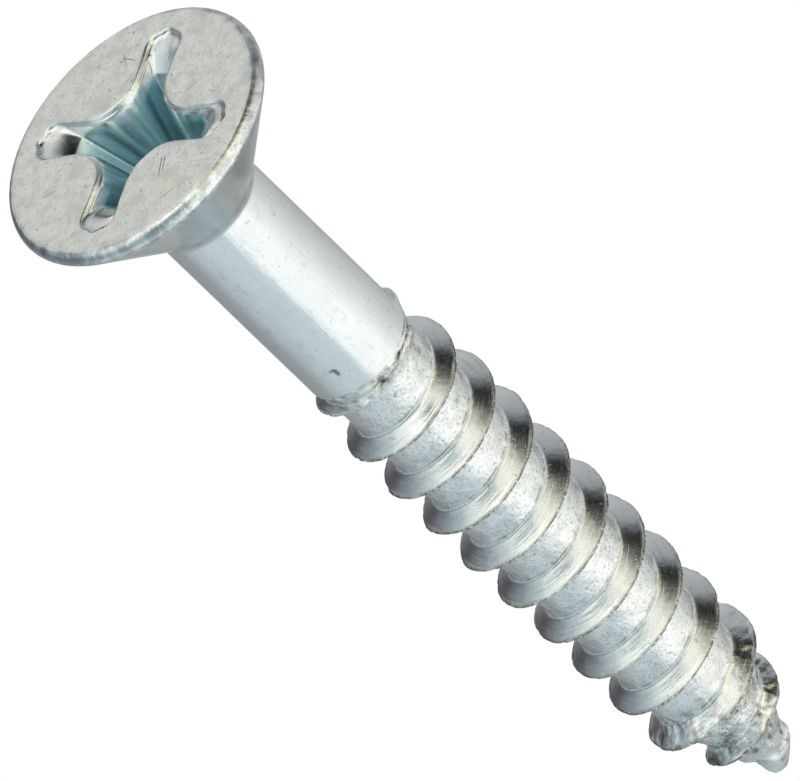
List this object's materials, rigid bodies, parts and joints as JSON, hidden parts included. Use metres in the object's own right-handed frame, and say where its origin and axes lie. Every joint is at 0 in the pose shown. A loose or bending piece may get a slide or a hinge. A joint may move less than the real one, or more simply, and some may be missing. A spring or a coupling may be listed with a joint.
{
  "type": "wood screw",
  "caption": "Countersunk wood screw with a flat head, cross recess, plain shank under the head, coarse right-hand thread and gimlet point.",
  "frame": {"origin": "centre of the flat head face, on the screw's axis, level with the surface the head is sunk into", "axes": "+Z out of the head along the axis, with the point towards -Z; the wings of the cross recess lie along X and Y"},
  "size_m": [0.012, 0.012, 0.0441],
  "materials": {
    "zinc_plated_steel": "satin clear zinc plate, blue-grey in the recess"
  },
  "bodies": {
    "root": {"wood_screw": "zinc_plated_steel"}
  },
  "joints": []
}
